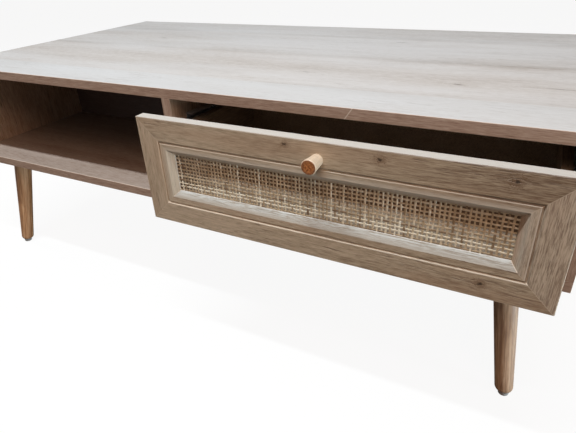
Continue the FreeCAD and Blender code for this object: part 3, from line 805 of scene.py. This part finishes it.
def woven_cane(drawer, seed):
    """Two sets of flat strands, woven over and under each other across the opening of a drawer front."""
    node = drawer + "_cane_panel"
    low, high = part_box(node)
    centre = (low + high) / 2
    dice = random.Random(seed)
    columns = round((high.x - low.x) / cane_pitch)
    rows = round((high.z - low.z) / cane_pitch)
    first_x = centre.x - (columns - 1) * cane_pitch / 2
    first_z = centre.z - (rows - 1) * cane_pitch / 2
    verts = []
    faces = []

    def weave(count, first, other_count, other_first, start, end, upright):
        """Add one set of strands, which run from start to end across the other set."""
        steps = (other_count + 1) * strand_steps
        across = Vector((1.0, 0.0, 0.0)) if upright else Vector((0.0, 0.0, 1.0))
        over = 1 if upright else -1
        for strand in range(count):
            place = first + strand * cane_pitch + dice.uniform(-1, 1) * strand_wander
            width = strand_width * dice.uniform(*strand_width_shares)
            bend = dice.uniform(0, math.tau)
            line = []
            widths = []
            for step in range(steps + 1):
                run = start + (end - start) * step / steps
                phase = (run - other_first) / cane_pitch + strand
                lift = over * strand_swing * math.cos(math.pi * phase)
                drift = strand_wander * math.sin(run * strand_waves + bend)
                swell = strand_swell_share * math.sin(step * strand_swell_turn + bend)
                if upright:
                    line.append(Vector((place + drift, centre.y + lift, run)))
                else:
                    line.append(Vector((run, centre.y + lift, place + drift)))
                widths.append(width * (1 + swell))
            add_ribbon(verts, faces, line, widths, across)

    weave(columns, first_x, rows, first_z, low.z, high.z, True)
    upright_faces = len(faces)
    weave(rows, first_z, columns, first_x, low.x, high.x, False)
    mesh = bpy.data.meshes.new(drawer + "_woven_cane")
    mesh.from_pydata(verts, [], faces)
    mesh.materials.append(cane_strand(drawer + "_cane_uprights", True, first_x))
    mesh.materials.append(cane_strand(drawer + "_cane_crossings", False, first_z))
    for number, polygon in enumerate(mesh.polygons):
        polygon.material_index = 0 if number < upright_faces else 1
        polygon.use_smooth = True
    cane = bpy.data.objects.new(drawer + "_woven_cane", mesh)
    bpy.context.scene.collection.objects.link(cane)
    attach(cane, drawer)
    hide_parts(node)


def dress(node, material):
    """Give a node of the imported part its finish."""
    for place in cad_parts[node].material_slots:
        place.material = material


def dress_carcass():
    for node, board in boards.items():
        dress(node, carcass_board(node, board))


def dress_drawer_front(drawer, seed):
    for number, member in enumerate(front_members):
        dress(drawer + "_" + member, drawer_front(drawer, member, seed + number))


def dress_wood():
    """Legs, knobs and dowels: legs at opposite corners share red or grey shades."""
    for seed, corner in enumerate(("front_left", "front_right", "rear_left", "rear_right")):
        node = corner + "_leg"
        side_x = -1 if "left" in corner else 1
        side_y = -1 if "front" in corner else 1
        lean_x = side_x * leg_lean_share
        lean_y = side_y * leg_lean_share
        shades = red_beech_shades if side_x == side_y else grey_beech_shades
        dress(node, natural_wood(node + "_finish", seed, shades, lean_x, lean_y))
    for number, drawer in enumerate(drawers):
        dress(drawer + "_knob", knob_wood(drawer + "_knob", knob_seed + number))
    dress("carcass_dowels", natural_wood("dowel_finish", dowel_seed, grey_beech_shades))


def dress_drawer_boxes():
    bottom = hardboard()
    for number, drawer in enumerate(drawers):
        foil = box_board(drawer + "_box_finish", box_seed + number)
        for piece in ("box_left_side", "box_right_side", "box_back", "cane_battens"):
            dress(drawer + "_" + piece, foil)
        dress(drawer + "_box_bottom", bottom)


def dress_fittings():
    steel = zinc_steel()
    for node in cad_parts:
        if any(word in node for word in ("screw", "bolt", "lock", "runner", "ball_cage", "plate")):
            dress(node, steel)
    dress("foot_glides", glide_plastic())


def add_light(name, light):
    lamp = bpy.data.lights.new(name, "AREA")
    lamp.shape = "RECTANGLE"
    lamp.size, lamp.size_y = light.size
    lamp.energy = light.power
    lamp.color = light.colour
    place = Vector(light.place)
    aim = (Vector(light.target) - place).to_track_quat("-Z", "Y").to_matrix().to_4x4()
    made = bpy.data.objects.new(name, lamp)
    made.matrix_world = Matrix.Translation(place) @ aim
    made.visible_glossy = light.mirrored
    bpy.context.scene.collection.objects.link(made)


def add_floor():
    """Pale floor that looks white and keeps a faint shadow."""
    f = Finish("floor_finish")
    mottle = f.noise(f.place, floor_cloud)
    seen, mirrored = f.on_path("Camera", "Glossy")
    reflection_glow = f.rise(f.x, reflection_glow_start.x, reflection_glow_full.x) * f.rise(f.y, reflection_glow_start.y, reflection_glow_full.y)
    shown = f.mix(mottle * floor_mottle_share, floor_shown, floor_bounce)
    matt = f.node("BsdfDiffuse", sockets={"Color": f.mix(seen, floor_bounce, shown)})
    glow = f.node("Emission", sockets={"Strength": 1.0})
    # Painted reflection: a patch of floor to the right glows, but only in reflections
    glow_share = seen * floor_glow_share + mirrored * reflection_glow
    shader = f.node("MixShader", sockets={0: glow_share, 1: matt, 2: glow})
    f.node("OutputMaterial", sockets={"Surface": shader}, out=())
    mesh = bpy.data.meshes.new("floor")
    r = floor_reach
    mesh.from_pydata([(-r, -r, 0.0), (r, -r, 0.0), (r, r, 0.0), (-r, r, 0.0)], [], [(0, 1, 2, 3)])
    mesh.materials.append(f.material)
    floor = bpy.data.objects.new("floor", mesh)
    bpy.context.scene.collection.objects.link(floor)


def add_world():
    """White to the camera, a cool sky in reflections and a dim warm fill for everything else."""
    world = bpy.data.worlds.new("studio")
    t = Tree(world)
    seen, mirrored = t.on_path("Camera", "Glossy")
    fill = t.node("Background", sockets={"Color": fill_colour, "Strength": fill_strength})
    sky = t.node("Background", sockets={"Color": mirrored_colour, "Strength": mirrored_strength})
    white = t.node("Background", sockets={"Color": (1.0, 1.0, 1.0), "Strength": 1.0})
    around = t.node("MixShader", sockets={0: mirrored, 1: fill, 2: sky})
    shader = t.node("MixShader", sockets={0: seen, 1: around, 2: white})
    t.node("OutputWorld", sockets={"Surface": shader}, out=())
    bpy.context.scene.world = world


def add_camera():
    """Camera turned left by the yaw, down by the pitch and about its own line of sight by the roll."""
    right = Vector((math.cos(camera_yaw), math.sin(camera_yaw), 0.0))
    level = Vector((-math.sin(camera_yaw), math.cos(camera_yaw), 0.0))
    forward = level * math.cos(camera_pitch) - Vector((0.0, 0.0, math.sin(camera_pitch)))
    up = right.cross(forward)
    side = right * math.cos(camera_roll) + up * math.sin(camera_roll)
    top = up * math.cos(camera_roll) - right * math.sin(camera_roll)
    turn = Matrix((side, top, -forward)).transposed().to_4x4()
    lens = bpy.data.cameras.new("camera")
    lens.sensor_width = sensor_width
    lens.lens = focal_pixels * sensor_width / image_width
    lens.clip_start = nearest_shown
    camera = bpy.data.objects.new("camera", lens)
    camera.matrix_world = Matrix.Translation(camera_place) @ turn
    bpy.context.scene.collection.objects.link(camera)
    bpy.context.scene.camera = camera


dress_carcass()
dress_wood()
dress_drawer_boxes()
dress_fittings()
for number, drawer in enumerate(drawers):
    dress_drawer_front(drawer, front_seed + len(front_members) * number)
    woven_cane(drawer, number + 1)
add_floor()
add_world()
for name, light in lights.items():
    add_light(name, light)
add_camera()
bpy.context.scene.view_settings.view_transform = "Standard"
